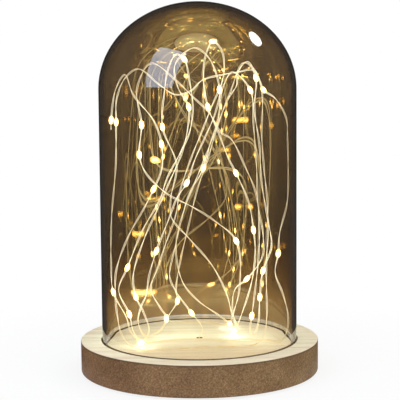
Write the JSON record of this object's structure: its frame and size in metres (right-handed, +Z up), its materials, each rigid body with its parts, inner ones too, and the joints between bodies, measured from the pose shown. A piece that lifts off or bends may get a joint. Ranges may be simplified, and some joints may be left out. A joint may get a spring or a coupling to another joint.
{
  "type": "lighted glass cloche",
  "caption": "Smoked glass cloche on a round wooden base, holding a tangled fine-wire string of warm drop lights run from a battery tray in the base.",
  "frame": {"origin": "middle of the underside, on the surface that the felt pads stand on", "axes": "+Z up along the dome's axis, -Y to the front where the battery cover's hinge lies, +X to the right"},
  "size_m": [0.15, 0.15, 0.2325],
  "materials": {
    "wood": "fine-grained light brown wood, oiled",
    "smoked_glass": "clear smoked grey-brown glass",
    "felt": "dense felt",
    "black_plastic": "moulded, satin",
    "cell_wrap": "plain shrink sleeve",
    "contact_steel": "plated spring steel",
    "board": "solder mask",
    "resistor_body": "lacquered",
    "lead_red": "insulated lead",
    "lead_black": "insulated lead",
    "fine_wire": "enamelled fine wire",
    "warm_drop": "clear drop with a warm light in it"
  },
  "bodies": {
    "base": {"wooden_base": "wood", "foot_pad_1": "felt", "foot_pad_2": "felt", "foot_pad_3": "felt", "foot_pad_4": "felt", "battery_tray": "black_plastic", "battery_cell_1": "cell_wrap", "battery_cell_2": "cell_wrap", "battery_cell_3": "cell_wrap", "positive_contact": "contact_steel", "bridge_contact_left": "contact_steel", "bridge_contact_right": "contact_steel", "negative_contact": "contact_steel", "switch_body": "black_plastic", "circuit_board": "board", "resistor": "resistor_body", "red_lead": "lead_red", "black_lead": "lead_black", "tray_screw_1": "contact_steel", "tray_screw_2": "contact_steel", "light_wire": "fine_wire", "light_01": "warm_drop", "light_02": "warm_drop", "light_03": "warm_drop", "light_04": "warm_drop", "light_05": "warm_drop", "light_06": "warm_drop", "light_07": "warm_drop", "light_08": "warm_drop", "light_09": "warm_drop", "light_10": "warm_drop", "light_11": "warm_drop", "light_12": "warm_drop", "light_13": "warm_drop", "light_14": "warm_drop", "light_15": "warm_drop", "light_16": "warm_drop", "light_17": "warm_drop", "light_18": "warm_drop", "light_19": "warm_drop", "light_20": "warm_drop", "light_21": "warm_drop", "light_22": "warm_drop", "light_23": "warm_drop", "light_24": "warm_drop", "light_25": "warm_drop", "light_26": "warm_drop", "light_27": "warm_drop", "light_28": "warm_drop", "light_29": "warm_drop", "light_30": "warm_drop", "light_31": "warm_drop", "light_32": "warm_drop", "light_33": "warm_drop", "light_34": "warm_drop", "light_35": "warm_drop", "light_36": "warm_drop"},
    "dome": {"glass_dome": "smoked_glass"},
    "cover": {"battery_cover": "black_plastic"},
    "slider": {"switch_slider": "black_plastic"}
  },
  "joints": [
    {"name": "dome_lift", "type": "slide", "parent": "base", "child": "dome", "axis": [0, 0, 1], "range_m": [0, 0.24]},
    {"name": "cover_hinge", "type": "hinge", "parent": "base", "child": "cover", "pos_m": [0, -0.0387, 0.0022], "axis": [-1, 0, 0], "range_deg": [0, 95]},
    {"name": "switch_slide", "type": "slide", "parent": "base", "child": "slider", "axis": [1, 0, 0], "range_m": [0, 0.0035]}
  ]
}
